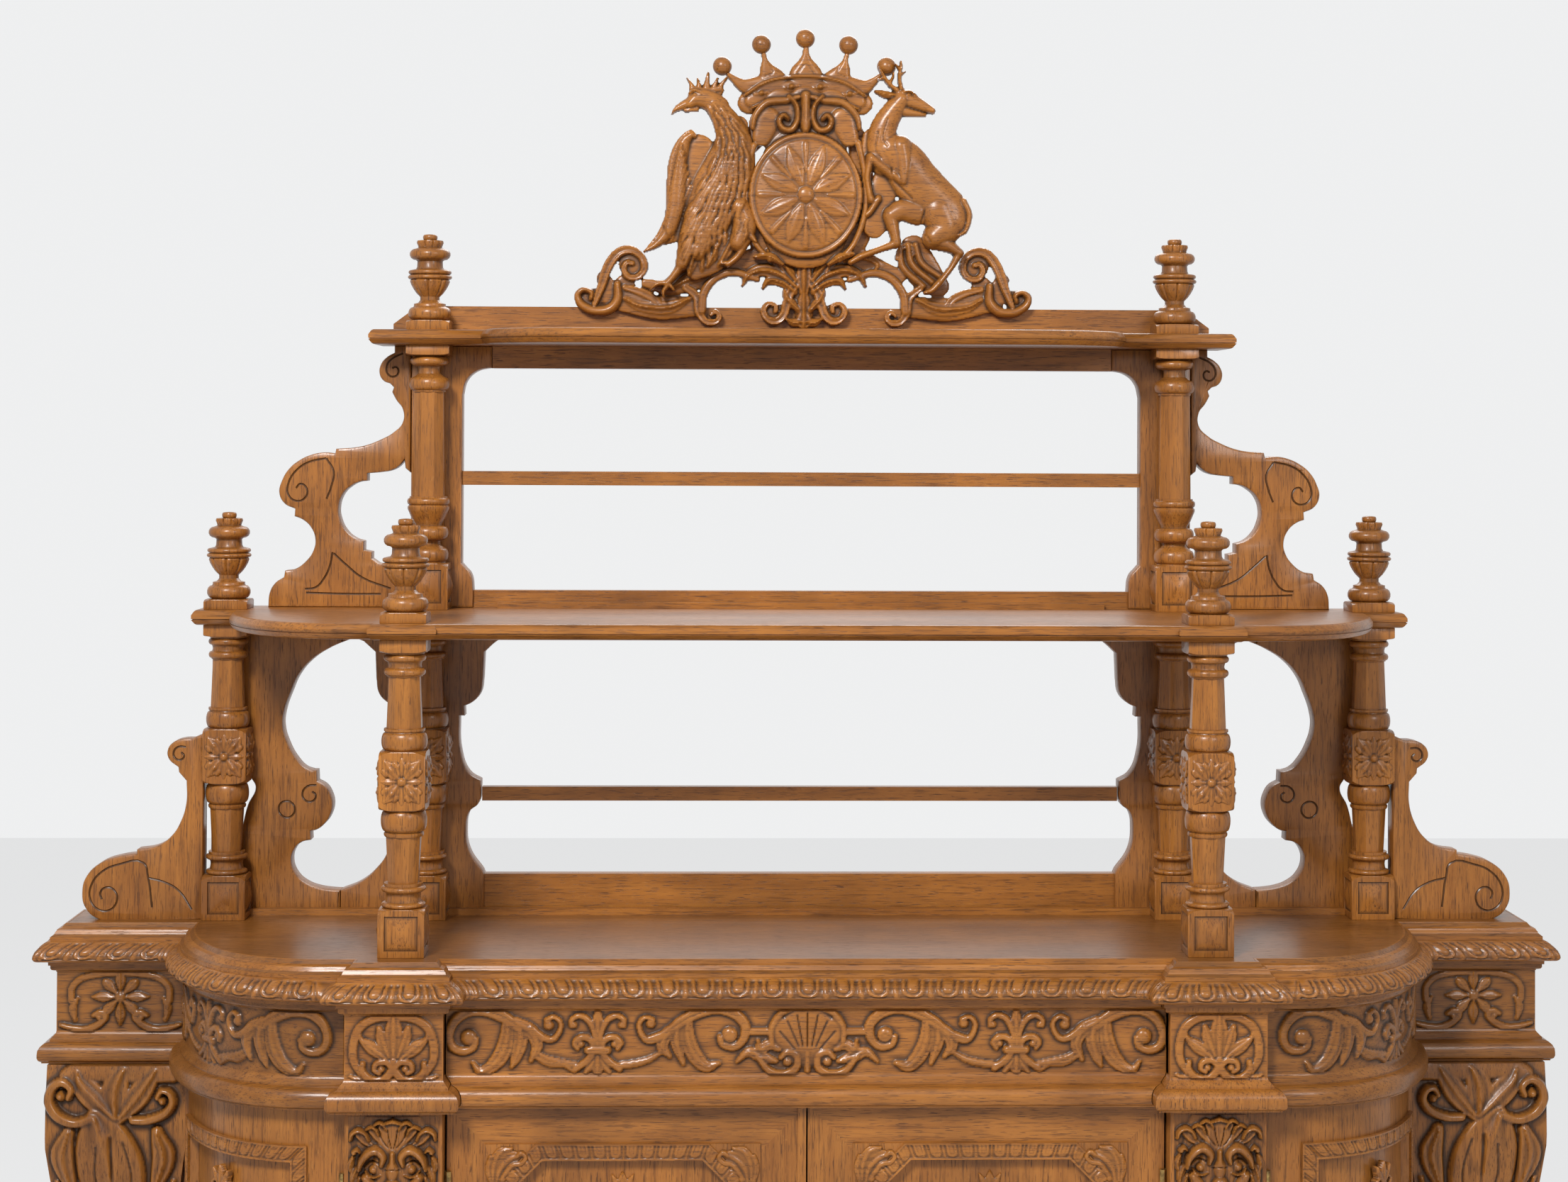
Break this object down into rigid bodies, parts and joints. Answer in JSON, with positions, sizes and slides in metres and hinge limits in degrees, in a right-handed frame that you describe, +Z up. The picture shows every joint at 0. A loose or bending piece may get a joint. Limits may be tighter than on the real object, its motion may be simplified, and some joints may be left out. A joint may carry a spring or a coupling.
{
  "type": "carved sideboard",
  "caption": "Wide carved oak buffet sideboard: bow-fronted base cupboard with panelled doors and a drawer, under tiered shelves on turned columns with fretted boards and a carved crest.",
  "frame": {"origin": "floor level, at the middle of the overall width and of the overall depth", "axes": "+Z up, +X to the viewer's right, -Y towards the viewer"},
  "size_m": [2.8, 0.594, 2.765],
  "materials": {
    "oak": "waxed mid-brown oak, darker in the carving",
    "brass": "aged"
  },
  "bodies": {
    "carcass": {"counter_top": "oak", "egg_moulding": "oak", "frieze_left": "oak", "frieze_right": "oak", "pilaster_left": "oak", "pilaster_right": "oak", "plinth": "oak", "cabinet_floor": "oak", "wing_case_left": "oak", "wing_case_right": "oak", "cabinet_back": "oak", "partitions": "oak", "cupboard_shelves": "oak", "drawer_board": "oak", "feet": "oak", "console_left": "oak", "console_right": "oak", "fixed_hinges": "brass", "front_columns": "oak", "rear_columns": "oak", "outer_columns": "oak", "upper_columns": "oak", "finials": "oak", "lower_fret_left": "oak", "lower_fret_right": "oak", "lower_stile_left": "oak", "lower_stile_right": "oak", "lower_bracket_left": "oak", "lower_bracket_right": "oak", "lower_back_rail": "oak", "plate_rails": "oak", "mid_shelf": "oak", "upper_stile_left": "oak", "upper_stile_right": "oak", "upper_bracket_left": "oak", "upper_bracket_right": "oak", "upper_top_rail": "oak", "upper_back_rail": "oak", "top_shelf": "oak", "gallery_rail": "oak", "crest_scrollwork": "oak", "crest_crown": "oak", "crest_eagle": "oak", "crest_stag": "oak", "crest_shield": "oak"},
    "centre_door_left": {"centre_door_left_frame": "oak", "centre_door_left_panel": "oak", "centre_door_left_hinges": "brass"},
    "centre_door_right": {"centre_door_right_frame": "oak", "centre_door_right_panel": "oak", "centre_door_right_hinges": "brass"},
    "bow_door_left": {"bow_door_left_frame": "oak", "bow_door_left_panel": "oak", "bow_door_left_hinges": "brass"},
    "bow_door_right": {"bow_door_right_frame": "oak", "bow_door_right_panel": "oak", "bow_door_right_hinges": "brass"},
    "centre_drawer": {"centre_drawer_front": "oak", "centre_drawer_box": "oak"}
  },
  "joints": [
    {"name": "centre_door_left_hinge", "type": "hinge", "parent": "carcass", "child": "centre_door_left", "pos_m": [-0.613, -0.217, 0.5], "axis": [0, 0, -1], "range_deg": [0, 85]},
    {"name": "centre_door_right_hinge", "type": "hinge", "parent": "carcass", "child": "centre_door_right", "pos_m": [0.613, -0.217, 0.5], "axis": [0, 0, 1], "range_deg": [0, 85]},
    {"name": "bow_door_left_hinge", "type": "hinge", "parent": "carcass", "child": "bow_door_left", "pos_m": [-0.792, -0.227, 0.5], "axis": [0, 0, 1], "range_deg": [0, 85]},
    {"name": "bow_door_right_hinge", "type": "hinge", "parent": "carcass", "child": "bow_door_right", "pos_m": [0.792, -0.227, 0.5], "axis": [0, 0, -1], "range_deg": [0, 85]},
    {"name": "centre_drawer_slide", "type": "slide", "parent": "carcass", "child": "centre_drawer", "axis": [0, -1, 0], "range_m": [0, 0.38]}
  ]
}
